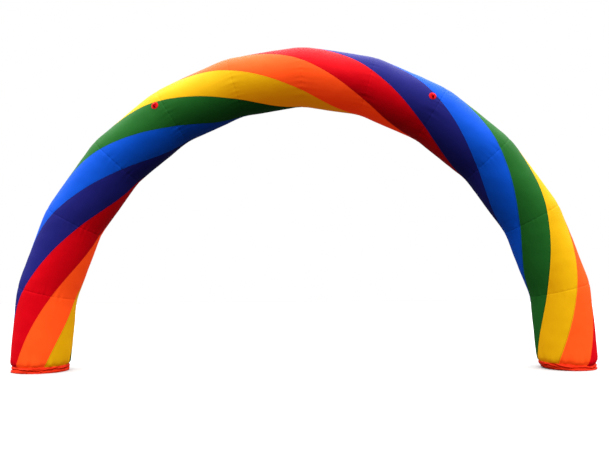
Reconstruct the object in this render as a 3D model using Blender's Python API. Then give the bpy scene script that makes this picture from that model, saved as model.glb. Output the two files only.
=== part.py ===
"""Inflatable rainbow arch, 8 m wide: an air-filled tube of twelve mitred rings that stands on two feet.

Metres, +Z up. The arch stands in the XZ plane with its front towards -Y, and the origin is on the
floor midway between its feet. The right leg mirrors the left one, apart from how its foot sits.
Angles round the tube run from the outside of the arch (0) by way of the front (90) to the inside (180).
"""

import math
from collections import namedtuple

import bmesh
import bpy
from mathutils import Vector

# The tube: six rings a leg, shorter towards the crown, each turned a little further than the last.
TUBE_RADIUS = 0.389
RINGS_PER_LEG = 6
FOOT_RING_LENGTH = 1.071
CROWN_RING_LENGTH = 0.917
FOOT_LEAN_DEG = 6.0
SEAM_TURN_DEG = 15.0
SEAM_DRAW = 0.006
SEAM_GAP = 0.0004
TUBE_SIDES = 48

# Foot bands: gathered cloth round each foot, from the floor up to where it is sewn on.
BAND_THICKNESS = 0.002
BAND_CLEARANCE = 0.003
BAND_SIDES = 64
BAND_ROWS = 6

# Guy patches and loops, on the upper front of the tube.
PATCH_RADIUS = 0.05
PATCH_THICKNESS = 0.0025
PATCH_SIDES = 24
WEBBING_WIDTH = 0.026
WEBBING_THICKNESS = 0.002
LOOP_HALF_SPAN = 0.036
LOOP_RISE = 0.032
LOOP_FLAT = 0.010
PIECE_GAP = 0.0006

FRONT = Vector((0, -1, 0))
SIDES = {"left": -1, "right": 1}

# A cross-section of a ring: its share of the way up the ring, and its inset from the full radius.
Station = namedtuple("Station", "share inset")
RING_STATIONS = (
    Station(0.00, SEAM_DRAW),
    Station(0.05, 0.0),
    Station(0.95, 0.0),
    Station(1.00, SEAM_DRAW),
)

# The foot ring's cross-sections follow its band: each is at a part of the band's top, and then above it.
FootStation = namedtuple("FootStation", "of_top above inset")
FOOT_STATIONS = (
    FootStation(0.00, 0.000, 0.052),
    FootStation(0.35, 0.000, 0.042),
    FootStation(0.75, 0.000, 0.033),
    FootStation(1.00, 0.005, 0.027),
    FootStation(1.00, 0.030, 0.010),
    FootStation(1.00, 0.085, 0.000),
    FootStation(0.00, 0.950, 0.000),
    FootStation(0.00, 1.000, SEAM_DRAW),
)

# How each foot sits. The tuck rounds the inner edge of the foot under, up to a share of the first ring.
# The band is shifted towards the inside of the arch, and reaches its tops, as shares of the first ring,
# at angles round the tube.
Foot = namedtuple("Foot", "tuck tuck_share band_shift band_tops")
BandTop = namedtuple("BandTop", "angle_deg share")
FEET = {
    "left": Foot(0.0, 0.1, 0.012, (
        BandTop(0, 0.074),
        BandTop(50, 0.072),
        BandTop(90, 0.075),
        BandTop(130, 0.083),
        BandTop(180, 0.093),
        BandTop(250, 0.084),
        BandTop(310, 0.090),
    )),
    "right": Foot(0.075, 0.105, 0.0, (
        BandTop(0, 0.094),
        BandTop(25, 0.078),
        BandTop(58, 0.052),
        BandTop(85, 0.068),
        BandTop(115, 0.087),
        BandTop(180, 0.100),
        BandTop(250, 0.086),
        BandTop(310, 0.092),
    )),
}

# The slumped profile of a band: how far it stands inside the full radius at a share of its own height.
BAND_PROFILE = (
    Station(0.00, 0.014),
    Station(0.22, 0.012),
    Station(0.46, 0.024),
    Station(0.68, 0.014),
    Station(0.88, 0.017),
    Station(1.00, 0.024),
)
# Its gathers: waves round the foot, slanting as they rise.
Gather = namedtuple("Gather", "waves depth start_deg slant_deg")
GATHERS = {
    "left": (
        Gather(3, 0.0030, 20, 90),
        Gather(7, 0.0045, 140, -150),
        Gather(13, 0.0035, 60, 200),
    ),
    "right": (
        Gather(4, 0.0030, 200, -120),
        Gather(8, 0.0045, 10, 170),
        Gather(13, 0.0035, 110, -190),
    ),
}

# Where each guy patch is: the ring's step above the foot, the share of the way up it, and the angle.
PatchPlace = namedtuple("PatchPlace", "step share angle_deg")
PATCH_PLACES = {
    "left": PatchPlace(3, 0.90, 68),
    "right": PatchPlace(4, 0.12, 72),
}

# Each ring carries the colour of the stripe that crosses its front.
RING_COLOURS = ("orange", "red", "navy", "blue", "green", "yellow")
COLOURS = {
    "red": (0.60, 0.003, 0.010),
    "orange": (1.0, 0.10, 0.010),
    "yellow": (0.87, 0.60, 0.010),
    "green": (0.030, 0.20, 0.030),
    "blue": (0.013, 0.12, 0.75),
    "navy": (0.022, 0.017, 0.19),
    "band_orange": (0.86, 0.045, 0.010),
    "webbing_red": (0.58, 0.005, 0.012),
}
CLOTH_ROUGHNESS = 0.5

Ring = namedtuple("Ring", "start along outward length low_normal high_normal low_gap side step")


def clear_scene():
    for item in list(bpy.data.objects):
        bpy.data.objects.remove(item, do_unlink=True)


def cloth(colour):
    """The Principled material of this colour, made the first time it is asked for."""
    if colour in bpy.data.materials:
        return bpy.data.materials[colour]
    material = bpy.data.materials.new(colour)
    material.use_nodes = True
    shader = material.node_tree.nodes["Principled BSDF"]
    shader.inputs["Base Color"].default_value = (*COLOURS[colour], 1)
    shader.inputs["Roughness"].default_value = CLOTH_ROUGHNESS
    shader.inputs["Metallic"].default_value = 0.0
    return material


def add_object(name, bm, colour, crease_deg=40):
    mesh = bpy.data.meshes.new(name)
    bmesh.ops.recalc_face_normals(bm, faces=bm.faces)
    bm.to_mesh(mesh)
    bm.free()
    mesh.materials.append(cloth(colour))
    mesh.shade_smooth()
    mesh.set_sharp_from_angle(angle=math.radians(crease_deg))
    piece = bpy.data.objects.new(name, mesh)
    bpy.context.scene.collection.objects.link(piece)
    return piece


def heading(lean, side):
    """The direction at this lean from the vertical, towards the middle of the arch."""
    return Vector((-side * math.sin(lean), 0, math.cos(lean)))


def leg_rings(side):
    """The rings of one leg from the floor to the crown."""
    steps = range(RINGS_PER_LEG)
    last = RINGS_PER_LEG - 1
    leans = [math.radians(FOOT_LEAN_DEG + SEAM_TURN_DEG * step) for step in steps]
    lengths = [
        FOOT_RING_LENGTH + (CROWN_RING_LENGTH - FOOT_RING_LENGTH) * step / last
        for step in steps
    ]
    seams = [0.0]
    seams += [(low + high) / 2 for low, high in zip(leans, leans[1:])]
    seams += [math.pi / 2]
    half_span = sum(length * math.sin(lean) for length, lean in zip(lengths, leans))
    start = Vector((side * half_span, 0, 0))
    rings = []
    for step in steps:
        along = heading(leans[step], side)
        outward = Vector((side * along.z, 0, abs(along.x)))
        rings.append(Ring(
            start,
            along,
            outward,
            lengths[step],
            heading(seams[step], side),
            heading(seams[step + 1], side),
            SEAM_GAP / 2 if step else 0.0,
            "left" if side < 0 else "right",
            step,
        ))
        start = start + along * lengths[step]
    return rings


def mitre(ring, normal, out):
    """How far along the ring its end plane lies, at this distance outward from its middle line."""
    return -out * ring.outward.dot(normal) / ring.along.dot(normal)


def on_ring(ring, share, angle, inset):
    """A point at this share of the way up a ring, this angle round it and this far inside its radius."""
    radius = TUBE_RADIUS - inset
    out = radius * math.cos(angle)
    low = mitre(ring, ring.low_normal, out) + ring.low_gap
    high = mitre(ring, ring.high_normal, out) + ring.length - SEAM_GAP / 2
    reach = low + (high - low) * share
    return ring.start + ring.outward * out + ring.along * reach + FRONT * radius * math.sin(angle)


def inset_at(stations, share):
    """The inset of the stations at this share, read in straight lines between them."""
    for low, high in zip(stations, stations[1:]):
        if share <= high.share:
            part = (share - low.share) / (high.share - low.share)
            return low.inset + (high.inset - low.inset) * part
    return stations[-1].inset


def tuck(foot, share, angle):
    """How far the inner edge of a foot is rounded under at this share of its ring."""
    if share >= foot.tuck_share:
        return 0.0
    fall = 1 - share / foot.tuck_share
    inner = max(0.0, -math.cos(angle))
    return foot.tuck * (1 - math.sqrt(1 - fall**2)) * inner**2


def skin(bm, hoops):
    """Quads between neighbouring hoops of points, which all close on themselves."""
    loops = [[bm.verts.new(point) for point in hoop] for hoop in hoops]
    for low, high in zip(loops, loops[1:]):
        count = len(low)
        for i in range(count):
            j = (i + 1) % count
            bm.faces.new((low[i], low[j], high[j], high[i]))
    return loops


def around(count):
    return [2 * math.pi * i / count for i in range(count)]


def band_top(foot, angle):
    """The share of the first ring that a band reaches at this angle, eased between the tops given."""
    degrees = math.degrees(angle) % 360
    tops = list(foot.band_tops)
    tops.append(BandTop(360, tops[0].share))
    for low, high in zip(tops, tops[1:]):
        if degrees <= high.angle_deg:
            part = (degrees - low.angle_deg) / (high.angle_deg - low.angle_deg)
            return low.share + (high.share - low.share) * (1 - math.cos(math.pi * part)) / 2
    return tops[-1].share


def foot_share(foot, station, angle):
    return station.of_top * band_top(foot, angle) + station.above


def foot_point(ring, foot, station, angle):
    """A point of a foot ring, drawn in behind its band and rounded under where the foot is tucked."""
    share = foot_share(foot, station, angle)
    return on_ring(ring, share, angle, station.inset + tuck(foot, share, angle))


def foot_inset(foot, share, angle):
    """How far a foot ring is drawn in at this share, in straight lines between its cross-sections."""
    rows = [Station(foot_share(foot, station, angle), station.inset) for station in FOOT_STATIONS]
    return inset_at(rows, share)


def build_ring(ring):
    """One mitred band of the tube, closed at both seams."""
    angles = around(TUBE_SIDES)
    if ring.step == 0:
        foot = FEET[ring.side]
        hoops = [[foot_point(ring, foot, station, angle) for angle in angles] for station in FOOT_STATIONS]
    else:
        hoops = [
            [on_ring(ring, station.share, angle, station.inset) for angle in angles]
            for station in RING_STATIONS
        ]
    bm = bmesh.new()
    loops = skin(bm, hoops)
    bm.faces.new(loops[0])
    bm.faces.new(loops[-1])
    number = ring.step + 1 if ring.side == "left" else 2 * RINGS_PER_LEG - ring.step
    colour = RING_COLOURS[(number - 1) % len(RING_COLOURS)]
    return add_object(f"ring_{number:02d}", bm, colour)


def band_inset(ring, up, angle):
    """How far inside the full radius the inner face of a band lies, clear of the tube behind it."""
    foot = FEET[ring.side]
    share = up * band_top(foot, angle)
    wave = sum(
        gather.depth * math.cos(gather.waves * angle + math.radians(gather.start_deg + gather.slant_deg * up))
        for gather in GATHERS[ring.side]
    )
    loose = inset_at(BAND_PROFILE, up) - wave * (1 - up**2) + foot.band_shift * math.cos(angle)
    tube = foot_inset(foot, share, angle) - BAND_CLEARANCE
    return min(loose, tube) + tuck(foot, share, angle)


def build_foot_band(ring):
    """The gathered strip round a foot: an inner and an outer face, joined at the floor and at the top."""
    ups = [row / BAND_ROWS for row in range(BAND_ROWS + 1)]
    angles = around(BAND_SIDES)
    foot = FEET[ring.side]

    def hoop(up, depth):
        return [
            on_ring(ring, up * band_top(foot, angle), angle, band_inset(ring, up, angle) - depth)
            for angle in angles
        ]

    inner = [hoop(up, 0.0) for up in ups]
    outer = [hoop(up, BAND_THICKNESS) for up in reversed(ups)]
    bm = bmesh.new()
    skin(bm, inner + outer + inner[:1])
    bmesh.ops.remove_doubles(bm, verts=bm.verts, dist=0.00001)
    return add_object(f"{ring.side}_foot_band", bm, "band_orange", crease_deg=60)


def patch_frame(ring, place):
    """The centre of a patch on the tube's middle line, and its outward, sideways and lengthways directions."""
    angle = math.radians(place.angle_deg)
    surface = on_ring(ring, place.share, angle, 0.0)
    normal = ring.outward * math.cos(angle) + FRONT * math.sin(angle)
    return surface - normal * TUBE_RADIUS, normal, ring.along.cross(normal), ring.along


def on_tube(frame, across, along, lift):
    """A point over a patch's centre, this far round the tube and along it, lifted off the cloth."""
    centre, normal, sideways, lengthways = frame
    turn = across / TUBE_RADIUS
    out = normal * math.cos(turn) + sideways * math.sin(turn)
    return centre + lengthways * along + out * (TUBE_RADIUS + lift)


def build_guy_patch(ring, place):
    """A round of doubled cloth that follows the tube."""
    frame = patch_frame(ring, place)

    def hoop(radius, lift):
        return [
            on_tube(frame, radius * math.cos(turn), radius * math.sin(turn), lift)
            for turn in around(PATCH_SIDES)
        ]

    low, high = PIECE_GAP, PIECE_GAP + PATCH_THICKNESS
    radii = [PATCH_RADIUS / 3, PATCH_RADIUS * 2 / 3, PATCH_RADIUS]
    hoops = [hoop(radius, low) for radius in radii] + [hoop(radius, high) for radius in reversed(radii)]
    bm = bmesh.new()
    loops = skin(bm, hoops)
    for loop, lift in ((loops[0], low), (loops[-1], high)):
        hub = bm.verts.new(on_tube(frame, 0.0, 0.0, lift))
        for i, vert in enumerate(loop):
            bm.faces.new((vert, loop[(i + 1) % PATCH_SIDES], hub))
    return add_object(f"{ring.side}_guy_patch", bm, "webbing_red")


def loop_outline():
    """The strap from its side: (reach, lift) along the face next to the patch, end to end."""
    shoulder = LOOP_HALF_SPAN - LOOP_FLAT
    arc = []
    for step in range(9):
        turn = math.pi * (1 - step / 8)
        arc.append((shoulder * math.cos(turn) * 0.92, LOOP_RISE * math.sin(turn) ** 0.8))
    start, end = (-LOOP_HALF_SPAN, 0.0), (LOOP_HALF_SPAN, 0.0)
    return [start, (-shoulder, 0.0)] + arc[1:-1] + [(shoulder, 0.0), end]


def build_guy_loop(ring, place):
    """A strap sewn down at both ends and bowed out between them. It runs up the front, square to the X axis."""
    frame = patch_frame(ring, place)
    normal, sideways, lengthways = frame[1:]
    uphill = Vector((1, 0, 0)).cross(normal).normalized()
    breadth = normal.cross(uphill)
    foot_lift = 2 * PIECE_GAP + PATCH_THICKNESS
    outline = loop_outline()
    sections = []
    for i, (reach, lift) in enumerate(outline):
        before = outline[max(i - 1, 0)]
        after = outline[min(i + 1, len(outline) - 1)]
        tangent = Vector((after[0] - before[0], after[1] - before[1])).normalized()
        corners = []
        for edge, layer in ((-1, 0), (1, 0), (1, 1), (-1, 1)):
            offset = uphill * (reach - layer * WEBBING_THICKNESS * tangent.y)
            offset += breadth * (edge * WEBBING_WIDTH / 2)
            rise = foot_lift + lift + layer * WEBBING_THICKNESS * tangent.x
            corners.append(on_tube(frame, offset.dot(sideways), offset.dot(lengthways), rise))
        sections.append(corners)
    bm = bmesh.new()
    loops = skin(bm, sections)
    bm.faces.new(loops[0])
    bm.faces.new(loops[-1])
    return add_object(f"{ring.side}_guy_loop", bm, "webbing_red")


def main():
    clear_scene()
    for name, side in SIDES.items():
        rings = leg_rings(side)
        for ring in rings:
            build_ring(ring)
        build_foot_band(rings[0])
        place = PATCH_PLACES[name]
        build_guy_patch(rings[place.step], place)
        build_guy_loop(rings[place.step], place)


main()
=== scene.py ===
# Inflatable rainbow arch: striped cloth rings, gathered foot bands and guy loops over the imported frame.
import math

import bmesh
import bpy
import numpy as np
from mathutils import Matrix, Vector, noise


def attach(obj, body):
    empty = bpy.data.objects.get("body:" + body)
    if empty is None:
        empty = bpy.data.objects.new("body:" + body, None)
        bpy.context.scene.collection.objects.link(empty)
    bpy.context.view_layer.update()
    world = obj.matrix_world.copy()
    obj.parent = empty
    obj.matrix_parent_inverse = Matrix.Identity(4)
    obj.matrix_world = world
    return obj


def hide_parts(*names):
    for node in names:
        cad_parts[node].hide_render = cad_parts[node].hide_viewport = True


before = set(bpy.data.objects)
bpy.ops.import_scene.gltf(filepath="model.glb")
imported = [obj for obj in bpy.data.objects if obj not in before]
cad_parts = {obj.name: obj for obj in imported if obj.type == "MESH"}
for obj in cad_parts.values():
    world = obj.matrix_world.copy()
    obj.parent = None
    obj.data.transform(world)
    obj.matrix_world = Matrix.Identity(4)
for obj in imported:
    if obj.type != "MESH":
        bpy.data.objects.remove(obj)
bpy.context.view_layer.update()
print("frame loaded:", len(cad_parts), "nodes")

# the arch's line
arch = {
    "tubeRadius": 0.389,
    "ringsPerLeg": 6,
    "footRing": 1.071,
    "crownRing": 0.917,
    "footLean": 6.0,
    "seamTurn": 15.0,
    "stripeStart": 8.0,    # degrees at the crown, from the outside towards the front
    "stripeTurn": 61.6,    # degrees that a stripe winds in each ring
    "stripeSlack": 0.2,    # degrees lost by the square of the rings from the crown
    "ringGap": 0.0004,
    "stripes": ["red", "orange", "yellow", "green", "blue", "navy"],
}
ringCount = 2 * arch["ringsPerLeg"]
panelWidth = 2 * math.pi * arch["tubeRadius"] / len(arch["stripes"])
halfTurn = math.tan(math.radians(arch["seamTurn"] / 2))
front = Vector((0, -1, 0))


def archRings():
    # ring after ring from the left foot over the crown to the right foot
    leg = arch["ringsPerLeg"]
    leans = [arch["footLean"] + arch["seamTurn"] * i for i in range(leg)]
    leans += [180 - lean for lean in reversed(leans)]
    lengths = [
        arch["footRing"] + (arch["crownRing"] - arch["footRing"]) * i / (leg - 1)
        for i in range(leg)
    ]
    lengths += lengths[::-1]
    seams = [0.0] + [(low + high) / 2 for low, high in zip(leans, leans[1:])] + [180.0]
    halfSpan = sum(l * math.sin(math.radians(a)) for l, a in zip(lengths, leans)) / 2
    start = Vector((-halfSpan, 0, 0))
    rings = []
    for i in range(ringCount):
        lean = math.radians(leans[i])
        along = Vector((math.sin(lean), 0, math.cos(lean)))
        rings.append({
            "start": start.copy(),
            "along": along,
            "outward": Vector((-along.z, 0, along.x)),
            "length": lengths[i],
            "normals": [
                Vector((math.sin(math.radians(s)), 0, math.cos(math.radians(s))))
                for s in (seams[i], seams[i + 1])
            ],
            "gaps": [
                arch["ringGap"] / 2 if i else 0.0,
                arch["ringGap"] / 2 if i < ringCount - 1 else 0.0,
            ],
        })
        start = start + along * lengths[i]
    return rings


rings = archRings()


def ringPoints(ring, share, angle, radius):
    # points between a ring's two mitred ends; share, angle and radius are arrays
    out = radius * np.cos(angle)
    ends = []
    for normal in ring["normals"]:
        ends.append(-out * ring["outward"].dot(normal) / ring["along"].dot(normal))
    low = ends[0] + ring["gaps"][0]
    high = ends[1] + ring["length"] - ring["gaps"][1]
    reach = low + (high - low) * share
    points = np.array(ring["start"])[None, :] + out[:, None] * np.array(ring["outward"])[None, :]
    points = points + reach[:, None] * np.array(ring["along"])[None, :]
    points = points + (radius * np.sin(angle))[:, None] * np.array(front)[None, :]
    return points, high - low


def stripeAngle(turn):
    # where the first stripe starts, in radians, at this many rings from the left foot
    fromCrown = turn - arch["ringsPerLeg"]
    degrees = arch["stripeStart"] + arch["stripeTurn"] * fromCrown - arch["stripeSlack"] * fromCrown**2
    return np.radians(degrees)


def stripeBow(share, angle):
    # the panels are cut with a bow, so that a stripe runs on smoothly where the tube bends at a seam
    length = (arch["footRing"] + arch["crownRing"]) / 2
    return halfTurn * length / arch["tubeRadius"] * (share**2 - share + 1 / 6) * np.sin(angle)


# materials
def addNode(tree, kind, **settings):
    made = tree.nodes.new(kind)
    for key, value in settings.items():
        setattr(made, key, value)
    return made


def calc(tree, operation, first, second=None, third=None):
    made = addNode(tree, "ShaderNodeMath", operation=operation)
    for socket, value in zip(made.inputs, (first, second, third)):
        if value is None:
            continue
        if isinstance(value, (int, float)):
            socket.default_value = value
        else:
            tree.links.new(value, socket)
    return made.outputs[0]


def noiseAt(tree, vector, scale, detail, roughness=0.5):
    made = addNode(tree, "ShaderNodeTexNoise")
    made.inputs["Scale"].default_value = scale
    made.inputs["Detail"].default_value = detail
    made.inputs["Roughness"].default_value = roughness
    tree.links.new(vector, made.inputs["Vector"])
    return made.outputs["Fac"]


def blendColour(tree, factor, first, second):
    made = addNode(tree, "ShaderNodeMix", data_type="RGBA")
    for socket, value in ((made.inputs[0], factor), (made.inputs[6], first), (made.inputs[7], second)):
        if isinstance(value, tuple):
            socket.default_value = (*value, 1)
        elif isinstance(value, (int, float)):
            socket.default_value = value
        else:
            tree.links.new(value, socket)
    return made.outputs[2]


def addBump(tree, height, distance, strength, under=None):
    made = addNode(tree, "ShaderNodeBump")
    made.inputs["Distance"].default_value = distance
    made.inputs["Strength"].default_value = strength
    tree.links.new(height, made.inputs["Height"])
    if under is not None:
        tree.links.new(under, made.inputs["Normal"])
    return made.outputs[0]


def shade(colour, amount):
    return tuple(channel * amount for channel in colour)


clothLook = {
    "colours": {
        "red": (0.64, 0.0005, 0.006),
        "orange": (0.85, 0.095, 0.012),
        "yellow": (0.52, 0.355, 0.003),
        "green": (0.013, 0.108, 0.015),
        "blue": (0.003, 0.077, 0.56),
        "navy": (0.013, 0.013, 0.155),
        "bandOrange": (0.74, 0.026, 0.005),
        "webbingRed": (0.62, 0.004, 0.010),
    },
    # painted light: a glow emitted by the pale cloths, standing in for daylight that comes through thin cloth
    "paintedGlow": {
        "red": (0.02, 0.0, 0.0),
        "orange": (0.34, 0.006, 0.0),
        "yellow": (0.29, 0.055, 0.0),
        "bandOrange": (0.03, 0.0, 0.0),
    },
    # painted shade: near-black for the closed ends of the rings, in the gap between two rings
    "paintedShadeRingEnd": (0.006, 0.006, 0.012),
    "roughness": (0.42, 0.54),
    "gloss": 0.035,
    # slow and fine unevenness of the dye: noise scale and detail, and the shades it moves between
    "clouds": {"scale": 2.4, "detail": 3.0, "gain": 1.5, "offset": -0.25, "dark": 0.90, "light": 1.06},
    "mottle": {"scale": 26.0, "detail": 4.0, "rough": 0.6, "share": 0.16, "dark": 0.72},
    # bumps: depth in metres, and strength
    "threads": {"pitch": 0.0028, "depth": 0.0003, "strength": 0.35},
    "crumples": {"scale": 9.0, "detail": 5.0, "rough": 0.55, "depth": 0.006, "strength": 0.28},
    # the seam's allowance: its width, a painted highlight on its far side and a painted shade on its near
    # side (with the share of that shade), and its bump
    "seam": {"width": 0.014, "light": 1.12, "dark": 0.55, "darkShare": 0.5, "depth": 0.0012, "strength": 0.6},
    # metres from the sewn edge to the stitch line, a stitch's length, the share of it where the thread shows,
    # and the thread's half width
    "stitch": {
        "inset": 0.010, "length": 0.0085, "dash": 0.62, "halfWidth": 0.0013, "dark": 0.35, "share": 0.45,
    },
}


def addSeams(tree, colour, tone, normal, across, alongCut):
    # the felled seam is folded to one side: that side gets a painted highlight, as if it caught the light,
    # and the other gets a painted shade, as if it lay under its edge
    seam, stitch = clothLook["seam"], clothLook["stitch"]
    edge = calc(tree, "MINIMUM", across, calc(tree, "SUBTRACT", panelWidth, across))
    run = calc(tree, "FRACT", calc(tree, "DIVIDE", alongCut, stitch["length"]))
    dash = calc(tree, "LESS_THAN", run, stitch["dash"])
    offLine = calc(tree, "ABSOLUTE", calc(tree, "SUBTRACT", edge, stitch["inset"]))
    thread = calc(tree, "MULTIPLY", dash, calc(tree, "LESS_THAN", offLine, stitch["halfWidth"]))
    allowance = calc(tree, "LESS_THAN", edge, seam["width"])
    farSide = calc(tree, "GREATER_THAN", across, panelWidth / 2)
    nearSide = calc(tree, "SUBTRACT", 1.0, farSide)
    paintedSeamLight = calc(tree, "MULTIPLY", allowance, farSide)
    # painted highlight on the far side of the seam, painted shade on the near side
    tone = blendColour(tree, paintedSeamLight, tone, shade(colour, seam["light"]))
    under = calc(tree, "MULTIPLY", calc(tree, "MULTIPLY", allowance, nearSide), seam["darkShare"])
    tone = blendColour(tree, under, tone, shade(colour, seam["dark"]))
    threadShare = calc(tree, "MULTIPLY", thread, stitch["share"])
    tone = blendColour(tree, threadShare, tone, shade(colour, stitch["dark"]))
    # the doubled cloth stands up, higher on the far side, and the thread pulls it down
    ridge = calc(tree, "MULTIPLY", allowance, calc(tree, "MULTIPLY_ADD", farSide, 0.5, 0.3))
    raised = calc(tree, "SUBTRACT", ridge, calc(tree, "MULTIPLY", thread, 0.4))
    return tone, addBump(tree, raised, seam["depth"], seam["strength"], normal)


def clothMaterial(name, colour, stitched=True, weave=1.0, paintedGlow=None):
    material = bpy.data.materials.new(name)
    material.use_nodes = True
    tree = material.node_tree
    shader = tree.nodes["Principled BSDF"]
    look = clothLook
    place = addNode(tree, "ShaderNodeTexCoord").outputs["Object"]
    cut = addNode(tree, "ShaderNodeUVMap", uv_map="cutUV").outputs[0]
    parts = addNode(tree, "ShaderNodeSeparateXYZ")
    tree.links.new(cut, parts.inputs[0])
    across, alongCut = parts.outputs[0], parts.outputs[1]

    # the dye and the cloth's tension are a little uneven
    clouds, mottle = look["clouds"], look["mottle"]
    cloudy = noiseAt(tree, place, clouds["scale"], clouds["detail"])
    mottled = noiseAt(tree, place, mottle["scale"], mottle["detail"], mottle["rough"])
    lightness = calc(tree, "MULTIPLY_ADD", cloudy, clouds["gain"], clouds["offset"])
    tone = blendColour(tree, lightness, shade(colour, clouds["dark"]), shade(colour, clouds["light"]))
    mottleShare = calc(tree, "MULTIPLY", mottled, mottle["share"])
    tone = blendColour(tree, mottleShare, tone, shade(colour, mottle["dark"]))

    # threads over and under
    threads = look["threads"]
    pitch = threads["pitch"] / weave
    warp = calc(tree, "SINE", calc(tree, "MULTIPLY", across, 2 * math.pi / pitch))
    weft = calc(tree, "SINE", calc(tree, "MULTIPLY", alongCut, 2 * math.pi / pitch))
    height = calc(tree, "MULTIPLY_ADD", calc(tree, "MULTIPLY", warp, weft), 0.5, 0.5)
    normal = addBump(tree, height, threads["depth"], threads["strength"])

    # small crumples that the air doesn't press out
    crumples = look["crumples"]
    crumple = noiseAt(tree, place, crumples["scale"], crumples["detail"], crumples["rough"])
    normal = addBump(tree, crumple, crumples["depth"], crumples["strength"], normal)

    if stitched:
        tone, normal = addSeams(tree, colour, tone, normal, across, alongCut)

    tree.links.new(tone, shader.inputs["Base Color"])
    low, high = look["roughness"]
    tree.links.new(calc(tree, "MULTIPLY_ADD", mottled, high - low, low), shader.inputs["Roughness"])
    tree.links.new(normal, shader.inputs["Normal"])
    shader.inputs["Specular IOR Level"].default_value = look["gloss"]
    if paintedGlow:  # painted light: an emitted glow that stands in for daylight coming through the thin pale cloth
        shader.inputs["Emission Color"].default_value = (*paintedGlow, 1)
        shader.inputs["Emission Strength"].default_value = 1.0
    return material


stripeCloth = [
    clothMaterial(stripe + "Cloth", clothLook["colours"][stripe], paintedGlow=clothLook["paintedGlow"].get(stripe))
    for stripe in arch["stripes"]
]
# the closed ends of a ring lie against the next ring: painted shade, a near-black cloth for the dark gap
# between them
paintedShadeEnd = bpy.data.materials.new("paintedShadeRingEnd")
paintedShadeEnd.use_nodes = True
endShader = paintedShadeEnd.node_tree.nodes["Principled BSDF"]
endShader.inputs["Base Color"].default_value = (*clothLook["paintedShadeRingEnd"], 1)
endShader.inputs["Roughness"].default_value = 1.0
endShader.inputs["Specular IOR Level"].default_value = 0.0
bandCloth = clothMaterial(
    "bandCloth", clothLook["colours"]["bandOrange"], stitched=False, paintedGlow=clothLook["paintedGlow"]["bandOrange"],
)
print("cloth materials ready")


# shapes from a grid of cloth
def clothGrid(name, acrossCuts, alongCuts, place, materials, panelOf=None, closed=False, capPushes=None):
    # a grid bent into its shape: place takes arrays of the cuts across and along, and gives the points
    bm = bmesh.new()
    columns, rows = len(acrossCuts) - 1, len(alongCuts) - 1
    bmesh.ops.create_grid(bm, x_segments=columns, y_segments=rows, size=0.5)
    flat = np.array([vert.co for vert in bm.verts])
    column = np.rint((flat[:, 0] + 0.5) * columns).astype(int)
    row = np.rint((flat[:, 1] + 0.5) * rows).astype(int)
    points = place(np.array(acrossCuts)[column], np.array(alongCuts)[row])
    uvLayer = bm.loops.layers.uv.new("cutUV")
    bm.verts.index_update()
    for face in bm.faces:
        low = min(column[loop.vert.index] for loop in face.loops)
        panel, offset = panelOf(low) if panelOf else (0, 0.0)
        face.material_index = panel
        face.smooth = True
        for loop in face.loops:
            index = loop.vert.index
            loop[uvLayer].uv = (acrossCuts[column[index]] - offset, alongCuts[row[index]])
    for vert, point in zip(bm.verts, points):
        vert.co = point
    if closed:
        bmesh.ops.remove_doubles(bm, verts=bm.verts, dist=0.00002)
    if capPushes:
        # each end is closed by a low cone, so that no line of sight passes between two rings
        rim = [edge for edge in bm.edges if edge.is_boundary]
        caps = bmesh.ops.holes_fill(bm, edges=rim, sides=0)["faces"]
        lowCentre = Vector(points[row == 0].mean(axis=0))
        caps.sort(key=lambda face: (face.calc_center_median() - lowCentre).length)
        for cap, push in zip(caps, capPushes):
            cone = bmesh.ops.poke(bm, faces=[cap])
            cone["verts"][0].co += push
            for face in cone["faces"]:
                # the cone takes the last material, the painted shade of a ring's end
                face.material_index = len(materials) - 1
                face.smooth = False
        for edge in rim:
            edge.smooth = False   # the closed end doesn't tilt the shading beside a seam
    bmesh.ops.recalc_face_normals(bm, faces=bm.faces)
    mesh = bpy.data.meshes.new(name)
    bm.to_mesh(mesh)
    bm.free()
    for material in materials:
        mesh.materials.append(material)
    piece = bpy.data.objects.new(name, mesh)
    bpy.context.scene.collection.objects.link(piece)
    return piece


def evenCuts(length, fine, count):
    # fine cuts near both ends, and even ones between them
    inner = np.linspace(fine[-1], length - fine[-1], count + 1)
    return np.concatenate([np.array(fine[:-1]), inner, length - np.array(fine[:-1])[::-1]])


# the tube
tube = {
    # metres that each feature draws the cloth in (or swells it), and the reach along the ring
    "seamDraw": 0.0016, "seamReach": 0.010,       # the line of a ring seam
    "shoulder": 0.002, "shoulderReach": 0.07,     # the cloth on both sides of it
    "pucker": 0.0085, "puckerReach": 0.085,       # folds that cross a ring seam
    "cornerReach": 0.13,                          # how far the bend at a seam is rounded
    "bulge": 0.004,                               # swelling in the middle of a ring
    "slack": 0.0055, "slackScale": 2.6,           # slow unevenness of the air-filled cloth
    "fineSlack": 0.35, "fineSlackScale": 8.0,
    "panelTrough": 0.0022, "troughWidth": 0.006,  # the seam between two panels
    "ripple": 0.0009, "rippleWidth": 0.022,       # small waves along that seam
    "rippleRun": (150, 5),                        # radians a ring, and waves round the tube
    "endCone": 0.008,                             # height of the cone that closes a ring's end
    "waves": (17, 23, 29, 38, 47),                # puckers round the tube, one set on another
    "fineAcross": [0.0, 0.003, 0.007, 0.012, 0.019],
    "evenAcross": 26,
    "fineAlong": [0.0, 0.004, 0.009, 0.015, 0.023, 0.032],
    "evenAlong": 60,
}


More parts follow.
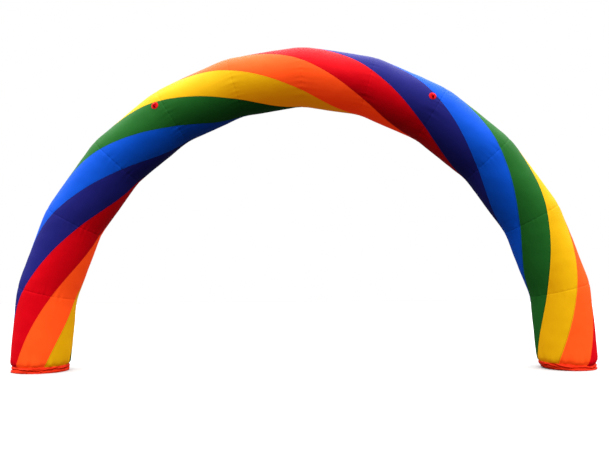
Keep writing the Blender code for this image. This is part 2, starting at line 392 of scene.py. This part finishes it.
def seamPuckers(seam, angle):
    # the same folds cross a seam on both of its rings
    draws = np.random.default_rng(400 + seam)
    total = np.zeros_like(angle)
    for waves in tube["waves"]:
        size = draws.uniform(0.4, 1.0)
        start = draws.uniform(0, 2 * math.pi)
        swell = draws.uniform(0, 2 * math.pi)
        pace = draws.integers(2, 5)
        total += size * np.sin(waves * angle + start) * (0.55 + 0.45 * np.sin(pace * angle + swell))
    # most of them lie on the inside of the bend, where there is cloth to spare
    inside = (1 - np.cos(angle)) / 2
    crowded = 0.48 + 1.12 * inside**1.4
    return total / len(tube["waves"]) * crowded


def slowNoise(points, scale, seed):
    shift = Vector((seed * 3.7, seed * 1.3, seed * 2.1))
    return np.array([noise.noise(Vector(point) * scale + shift) for point in points])


# each foot: how far its inner edge is rounded under and up to what height, how much further its outer side
# is drawn in, its band's top edge (degrees round the tube, share of the way up the foot ring), and the pleats
# above it (count, size, degrees)
feet = {
    "left": {
        "ring": 0, "tuck": 0.0, "tuckTop": 0.10, "outerDraw": 0.012, "seed": 11,
        "tops": [
            (0, 0.074), (50, 0.072), (90, 0.075), (130, 0.083), (180, 0.093), (250, 0.084), (310, 0.090),
            (360, 0.074),
        ],
        "pleats": [(9, 0.5, 20), (15, 0.8, 75), (22, 0.6, 210), (31, 0.5, 120)],
    },
    "right": {
        "ring": 11, "tuck": 0.075, "tuckTop": 0.112, "outerDraw": 0.020, "seed": 23,
        "tops": [
            (0, 0.094), (25, 0.078), (58, 0.052), (85, 0.068), (115, 0.087), (180, 0.100), (250, 0.086),
            (310, 0.092), (360, 0.094),
        ],
        "pleats": [(8, 0.6, 160), (14, 0.8, 40), (21, 0.7, 300), (33, 0.5, 10)],
    },
}
footShape = {
    "seamHeight": 1.06,       # of the foot ring's upper seam over the floor
    "seamTilt": 0.09,         # how much higher that seam is on the outer side, and lower on the inner
    "drawIn": 0.026,          # of the tube at its band
    "hiddenDraw": 0.007,      # more of it behind the band
    "edge": 0.012,            # height over which that and the pleats set in
    "rise": 0.034,            # height over which the tube swells out again
    "swellPower": 1.15,
    "swellPace": 1.3,
    "pleatDepth": 0.0096,
    "pleatReach": 0.05,
}


def topHeight(degrees, share):
    # height over the floor of this share of the way up the foot ring, to the millimetre
    seam = footShape["seamHeight"] + footShape["seamTilt"] * math.cos(math.radians(degrees))
    return round(share * seam, 3)


def bandTop(foot, angle):
    # height of the band's sewn edge above the floor, eased between its tops
    degrees = np.degrees(angle) % 360
    result = np.zeros_like(degrees)
    tops = [(at, topHeight(at, share)) for at, share in foot["tops"]]
    for (lowAt, low), (highAt, high) in zip(tops, tops[1:]):
        within = (degrees >= lowAt) & (degrees <= highAt)
        part = (degrees - lowAt) / (highAt - lowAt)
        result[within] = (low + (high - low) * (1 - np.cos(math.pi * part)) / 2)[within]
    return result


def footTuck(foot, height, angle):
    fall = np.clip(1 - height / foot["tuckTop"], 0, 1)
    inner = np.maximum(0, -np.cos(angle))
    return foot["tuck"] * (1 - np.sqrt(1 - fall**2)) * inner**2


def outerDraw(foot, angle):
    # the outer side of each foot is gathered in further
    return foot["outerDraw"] * np.maximum(0, np.cos(angle)) ** 2


def footDraw(foot, height, angle):
    # the tube is drawn in behind its band and swells out over the band's top, in pleats
    above = height - bandTop(foot, angle)
    swell = np.clip(above / footShape["rise"], 0, None)
    draw = np.where(above <= 0, 1.0, np.exp(-(swell ** footShape["swellPower"]) * footShape["swellPace"]))
    drawIn = footShape["drawIn"] + outerDraw(foot, angle)
    hidden = footShape["hiddenDraw"] * np.clip(-above / footShape["edge"], 0, 1)
    fold = sum(size * np.cos(count * angle + math.radians(start)) for count, size, start in foot["pleats"])
    near = np.exp(-np.clip(above, 0, None) / footShape["pleatReach"])
    pleats = footShape["pleatDepth"] * fold * near * np.clip(above / footShape["edge"], 0, 1)
    return drawIn * draw + hidden + pleats + footTuck(foot, height, angle)


def buildRing(number):
    ring = rings[number]
    foot = {0: feet["left"], ringCount - 1: feet["right"]}.get(number)
    alongCuts = evenCuts(ring["length"], tube["fineAlong"], tube["evenAlong"])
    panelCuts = evenCuts(panelWidth, tube["fineAcross"], tube["evenAcross"])
    panels = len(arch["stripes"])
    starts = [panelCuts[:-1] + panelWidth * panel for panel in range(panels)]
    acrossCuts = np.concatenate(starts + [[panelWidth * panels]])
    perPanel = len(panelCuts) - 1
    lengthways, roundways = tube["rippleRun"]

    def place(across, alongCut):
        share = alongCut / ring["length"]
        turn = number + share
        angle = stripeAngle(turn) + across / arch["tubeRadius"]
        angle = angle + stripeBow(share, angle)
        plain, reach = ringPoints(ring, share, angle, arch["tubeRadius"])
        inset = np.zeros_like(angle)
        for end, distance in ((number, share * reach), (number + 1, (1 - share) * reach)):
            if end in (0, ringCount):
                continue
            inset += tube["seamDraw"] * np.exp(-((distance / tube["seamReach"]) ** 2))
            # taut cloth rounds the corner off outside the bend, and fills it inside
            near = np.clip(tube["cornerReach"] - distance, 0, None)
            inset += np.cos(angle) * halfTurn * near**2 / (2 * tube["cornerReach"])
            inset += tube["shoulder"] * np.exp(-distance / tube["shoulderReach"])
            inset += tube["pucker"] * seamPuckers(end, angle) * np.exp(-distance / tube["puckerReach"])
        inset -= tube["bulge"] * np.sin(math.pi * share)
        inset += tube["slack"] * slowNoise(plain, tube["slackScale"], 1)
        inset += tube["slack"] * tube["fineSlack"] * slowNoise(plain, tube["fineSlackScale"], 2)
        offSeam = np.minimum(across % panelWidth, panelWidth - across % panelWidth)
        inset += tube["panelTrough"] * np.exp(-((offSeam / tube["troughWidth"]) ** 2))
        ripple = np.sin(lengthways * turn + roundways * angle)
        inset += tube["ripple"] * ripple * np.exp(-offSeam / tube["rippleWidth"])
        if foot:
            inset += footDraw(foot, plain[:, 2], angle)
        return ringPoints(ring, share, angle, arch["tubeRadius"] - inset)[0]

    def panelOf(columnLow):
        panel = columnLow // perPanel
        return panel, panel * panelWidth

    # the ends on the floor stay flat
    cone, flatEnd = ring["along"] * tube["endCone"], Vector((0, 0, 0))
    pushes = (cone if number else flatEnd, cone if number < ringCount - 1 else flatEnd)
    piece = clothGrid(
        f"tubeRing{number + 1:02d}", acrossCuts, alongCuts, place, stripeCloth + [paintedShadeEnd],
        panelOf=panelOf, closed=True, capPushes=pushes,
    )
    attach(piece, "root")
    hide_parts(f"ring_{number + 1:02d}")


for number in range(ringCount):
    buildRing(number)
print("tube rings built")

# foot bands
band = {
    "thickness": 0.0016,
    "cutDepth": 0.10,
    "fullness": 1.05,         # cloth gathered in, against the girth
    "clearance": 0.003,       # from the tube behind it
    "floorLift": 0.0004,
    "around": 420,
    "up": 44,
    # shares of the height, and how far the cloth lies inside the tube's full radius there
    "profile": [(0.0, 0.012), (0.20, 0.009), (0.44, 0.015), (0.66, 0.010), (0.86, 0.013), (1.0, 0.022)],
    # soft crumples: depth, waves round the foot, how the finer ones weaken, and how far they slant
    "crumple": 0.00275,
    "crumpleWaves": (3, 5, 9, 14, 22, 34),
    "crumpleFade": 18,
    "slant": 5,
    # gathers: depth, count, and the share of the height that they reach from the sewn edge and the hem
    "gathers": 0.0036,
    "gatherCount": 46,
    "sewnReach": 0.2,
    "hemReach": 0.16,
    # long folds: a crease with a puffed lip above it; widths are shares of the height
    "creaseWidth": 0.10,
    "creaseEnds": 0.18,
    "lip": 0.55,
    "lipAbove": 1.7,
    # where each starts and ends round the foot in degrees, its heights there, and its depth
    "folds": {
        "left": [
            (20, 0.55, 62, 0.60, 0.008), (58, 0.66, 92, 0.44, 0.009), (90, 0.48, 118, 0.10, 0.010),
            (112, 0.30, 150, 0.78, 0.011), (140, 0.52, 176, 0.40, 0.008), (200, 0.5, 250, 0.62, 0.008),
            (262, 0.7, 300, 0.4, 0.009), (310, 0.42, 356, 0.56, 0.008),
        ],
        "right": [
            (178, 0.85, 128, 0.30, 0.011), (150, 0.95, 96, 0.22, 0.011), (170, 0.45, 132, 0.12, 0.008),
            (92, 0.62, 44, 0.42, 0.009), (60, 0.30, 8, 0.48, 0.008), (200, 0.5, 244, 0.66, 0.008),
            (250, 0.62, 296, 0.4, 0.009), (306, 0.44, 352, 0.60, 0.008),
        ],
    },
}


def buildBand(name):
    foot = feet[name]
    ring = rings[foot["ring"]]
    girth = 2 * math.pi * arch["tubeRadius"]
    upsideDown = foot["ring"] > 0   # the last ring runs down to the floor
    depth = band["cutDepth"]

    def place(across, alongCut):
        angle = across / arch["tubeRadius"]
        degrees = np.degrees(angle)
        up = alongCut / depth
        height = up * bandTop(foot, angle)
        draws = np.random.default_rng(foot["seed"])
        knots = np.array(band["profile"])
        inset = np.interp(up, knots[:, 0], knots[:, 1])
        # soft crumples that slant as they rise
        crumple = np.zeros_like(angle)
        for waves in band["crumpleWaves"]:
            slant = draws.uniform(-band["slant"], band["slant"])
            start = draws.uniform(0, 2 * math.pi)
            size = draws.uniform(0.6, 1.0)
            crumple += size * np.sin(waves * angle + slant * up + start) / (1 + waves / band["crumpleFade"])
        inset += band["crumple"] * crumple * (0.45 + 0.55 * np.sin(math.pi * up))
        # gathers where the strip is sewn on, and at its hem
        uneven = 0.6 + 0.4 * np.sin(7 * angle + 1.0)
        gather = np.sin(band["gatherCount"] * angle + 2.2 * np.sin(5 * angle)) * uneven
        reach = np.exp(-(1 - up) / band["sewnReach"]) + 0.5 * np.exp(-up / band["hemReach"])
        inset += band["gathers"] * gather * reach
        for startAt, startUp, endAt, endUp, deep in band["folds"][name]:
            part = (degrees - startAt) / (endAt - startAt)
            wander = 0.045 * np.sin(part * 9 + startAt) + 0.02 * np.sin(part * 23 + endAt)
            line = startUp + (endUp - startUp) * part + wander
            fade = np.clip(part / band["creaseEnds"], 0, 1) * np.clip((1 - part) / band["creaseEnds"], 0, 1)
            off = (up - line) / band["creaseWidth"]
            lip = band["lip"] * np.exp(-((off - band["lipAbove"]) ** 2))
            inset += fade * deep * (np.exp(-(off**2)) - lip)
        inset = np.minimum(inset, footShape["drawIn"] - band["clearance"])
        inset += outerDraw(foot, angle) + footTuck(foot, height, angle)
        share = height / ring["length"]
        if upsideDown:
            share = 1 - share
        points = ringPoints(ring, share, angle, arch["tubeRadius"] - inset)[0]
        points[:, 2] = np.maximum(height, band["floorLift"])
        return points

    acrossCuts = np.linspace(0, girth, band["around"] + 1)
    alongCuts = np.linspace(0, depth, band["up"] + 1)
    piece = clothGrid(f"{name}FootBand", acrossCuts, alongCuts, place, [bandCloth], closed=True)
    wall = piece.modifiers.new("cloth", "SOLIDIFY")
    wall.thickness = band["thickness"]
    wall.offset = -1
    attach(piece, "root")
    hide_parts(f"{name}_foot_band")


for name in feet:
    buildBand(name)
print("foot bands built")

# guy patches and loops
webbing = {
    # the patch: its radius, the sizes of its wall, its height over the tube and at its stitched groove
    "patchRadius": 0.05,
    "patchThickness": 0.0011,
    "patchBase": 0.0012,
    "patchRise": 0.0022,
    "grooveDepth": 0.0011,
    "grooveAt": 0.91,         # shares of the radius
    "grooveWidth": 0.03,
    "patchRims": [0.0, 0.2, 0.4, 0.6, 0.76, 0.86, 0.91, 0.95, 0.98, 1.0],
    "patchSides": 72,
    # the loop: a strip that lies flat at both ends and bows out between them
    "width": 0.026,
    "halfSpan": 0.036,
    "rise": 0.032,
    "flat": 0.010,
    "thickness": 0.002,
    "base": 0.0044,           # of its underside over the tube, above the patch
    "crown": 0.0008,
    "steps": 24,
    "cutsAcross": 12,
    "softEdge": 0.0005,
    # ring, share of its length and degrees round the tube
    "places": {"left": (3, 0.90, 68), "right": (7, 0.88, 72)},
}
webbingCloth = clothMaterial("webbingCloth", clothLook["colours"]["webbingRed"], stitched=False, weave=0.9)


def patchFrame(name):
    number, share, degrees = webbing["places"][name]
    ring = rings[number]
    angle = math.radians(degrees)
    point = ringPoints(ring, np.array([share]), np.array([angle]), arch["tubeRadius"])[0]
    normal = ring["outward"] * math.cos(angle) + front * math.sin(angle)
    centre = Vector(point[0]) - normal * arch["tubeRadius"]
    return centre, normal, ring["along"].cross(normal), ring["along"]


def onTube(spot, across, alongCut, lift):
    centre, normal, sideways, lengthways = spot
    turn = across / arch["tubeRadius"]
    out = np.outer(np.cos(turn), normal) + np.outer(np.sin(turn), sideways)
    radius = arch["tubeRadius"] + lift
    return np.array(centre)[None, :] + np.outer(alongCut, lengthways) + out * radius[:, None]


def buildPatch(name):
    spot = patchFrame(name)
    radius = webbing["patchRadius"]
    rims = np.array(webbing["patchRims"]) * radius
    acrossCuts = np.linspace(0, 2 * math.pi * radius, webbing["patchSides"] + 1)

    def place(across, alongCut):
        out = alongCut / radius
        offGroove = (out - webbing["grooveAt"]) / webbing["grooveWidth"]
        groove = webbing["grooveDepth"] * np.exp(-(offGroove**2))
        lift = webbing["patchBase"] + webbing["patchRise"] * (1 - out**10) - groove
        turn = across / radius
        return onTube(spot, alongCut * np.cos(turn), alongCut * np.sin(turn), lift)

    piece = clothGrid(f"{name}GuyPatch", acrossCuts, rims, place, [webbingCloth], closed=True)
    wall = piece.modifiers.new("cloth", "SOLIDIFY")
    wall.thickness = webbing["patchThickness"]
    wall.offset = -1
    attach(piece, "root")
    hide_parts(f"{name}_guy_patch")


def buildLoop(name):
    spot = patchFrame(name)
    normal, sideways, lengthways = spot[1:]
    uphill = Vector((1, 0, 0)).cross(normal).normalized()
    breadth = normal.cross(uphill)
    # the strip's path uphill: a flat foot, a full bow that leans in a little, and the other foot
    shoulder = webbing["halfSpan"] - webbing["flat"]
    foot = [-webbing["halfSpan"], 0.004 - webbing["halfSpan"], -shoulder - 0.002]
    path = [(reach, 0.0) for reach in foot]
    for step in range(1, webbing["steps"]):
        turn = math.pi * (1 - step / webbing["steps"])
        path.append((shoulder * math.cos(turn) * 0.92, webbing["rise"] * math.sin(turn) ** 0.8))
    path += [(-reach, 0.0) for reach in reversed(foot)]
    path = np.array(path)
    run = np.concatenate([[0], np.cumsum(np.hypot(*np.diff(path, axis=0).T))])

    def place(across, alongCut):
        reach = np.interp(alongCut, run, path[:, 0])
        lift = np.interp(alongCut, run, path[:, 1])
        side = across - webbing["width"] / 2
        crown = webbing["crown"] * (1 - (2 * side / webbing["width"]) ** 2)
        flatAcross = reach * uphill.dot(sideways) + side * breadth.dot(sideways)
        flatAlong = reach * uphill.dot(lengthways) + side * breadth.dot(lengthways)
        return onTube(spot, flatAcross, flatAlong, webbing["base"] + lift + crown)

    acrossCuts = np.linspace(0, webbing["width"], webbing["cutsAcross"] + 1)
    piece = clothGrid(f"{name}GuyLoop", acrossCuts, run, place, [webbingCloth])
    wall = piece.modifiers.new("webbing", "SOLIDIFY")
    wall.thickness = webbing["thickness"]
    wall.offset = 0
    softEdges = piece.modifiers.new("edges", "BEVEL")
    softEdges.width = webbing["softEdge"]
    softEdges.segments = 2
    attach(piece, "root")
    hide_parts(f"{name}_guy_loop")


for name in webbing["places"]:
    buildPatch(name)
    buildLoop(name)
print("guy patches and loops built")

# floor, light and camera
stage = {
    "floorSize": 60.0,
    "floorTone": (0.42, 0.42, 0.42),
    "floorBounce": (0.03, 0.03, 0.03),
    "skyTop": 7.2,
    "skyLow": 0.05,
    "overhead": 1.7,          # the higher, the more the light is gathered overhead
    "backdrop": 1.0,
    "cameraPlace": (0.118, -9.48, 1.185),
    "cameraRoll": 0.39,
    "cameraTurn": 0.55,
    "lens": 41.0,
    "shiftUp": 0.0886,
    "farthest": 300,
}


def buildStage():
    bm = bmesh.new()
    bmesh.ops.create_grid(bm, x_segments=1, y_segments=1, size=stage["floorSize"] / 2)
    mesh = bpy.data.meshes.new("floor")
    bm.to_mesh(mesh)
    bm.free()
    floor = bpy.data.objects.new("floor", mesh)
    bpy.context.scene.collection.objects.link(floor)
    material = bpy.data.materials.new("paleFloor")
    material.use_nodes = True
    tree = material.node_tree
    shader = tree.nodes["Principled BSDF"]
    seen = addNode(tree, "ShaderNodeLightPath").outputs["Is Camera Ray"]
    tone = blendColour(tree, seen, stage["floorBounce"], stage["floorTone"])
    tree.links.new(tone, shader.inputs["Base Color"])
    shader.inputs["Roughness"].default_value = 0.9
    shader.inputs["Specular IOR Level"].default_value = 0.0
    mesh.materials.append(material)

    # a soft white room: its light comes mostly from overhead
    world = bpy.data.worlds.new("studio")
    bpy.context.scene.world = world
    world.use_nodes = True
    tree = world.node_tree
    background = tree.nodes["Background"]
    direction = addNode(tree, "ShaderNodeTexCoord").outputs["Generated"]
    split = addNode(tree, "ShaderNodeSeparateXYZ")
    tree.links.new(direction, split.inputs[0])
    climb = calc(tree, "POWER", calc(tree, "MAXIMUM", split.outputs[2], 0.0), stage["overhead"])
    light = calc(tree, "MULTIPLY_ADD", climb, stage["skyTop"] - stage["skyLow"], stage["skyLow"])
    seen = addNode(tree, "ShaderNodeLightPath").outputs["Is Camera Ray"]
    strength = addNode(tree, "ShaderNodeMix", data_type="FLOAT")
    tree.links.new(seen, strength.inputs[0])
    tree.links.new(light, strength.inputs[2])
    strength.inputs[3].default_value = stage["backdrop"]
    tree.links.new(strength.outputs[0], background.inputs["Strength"])
    background.inputs["Color"].default_value = (1, 1, 1, 1)


def addCamera():
    eye = bpy.data.cameras.new("camera")
    eye.sensor_width = 36.0
    eye.lens = stage["lens"]
    eye.shift_y = stage["shiftUp"]
    eye.clip_end = stage["farthest"]
    camera = bpy.data.objects.new("camera", eye)
    camera.location = stage["cameraPlace"]
    camera.rotation_euler = [math.radians(turn) for turn in (90, stage["cameraRoll"], stage["cameraTurn"])]
    bpy.context.scene.collection.objects.link(camera)
    bpy.context.scene.camera = camera


buildStage()
addCamera()
bpy.context.scene.view_settings.view_transform = "Standard"
print("stage, light and camera ready")
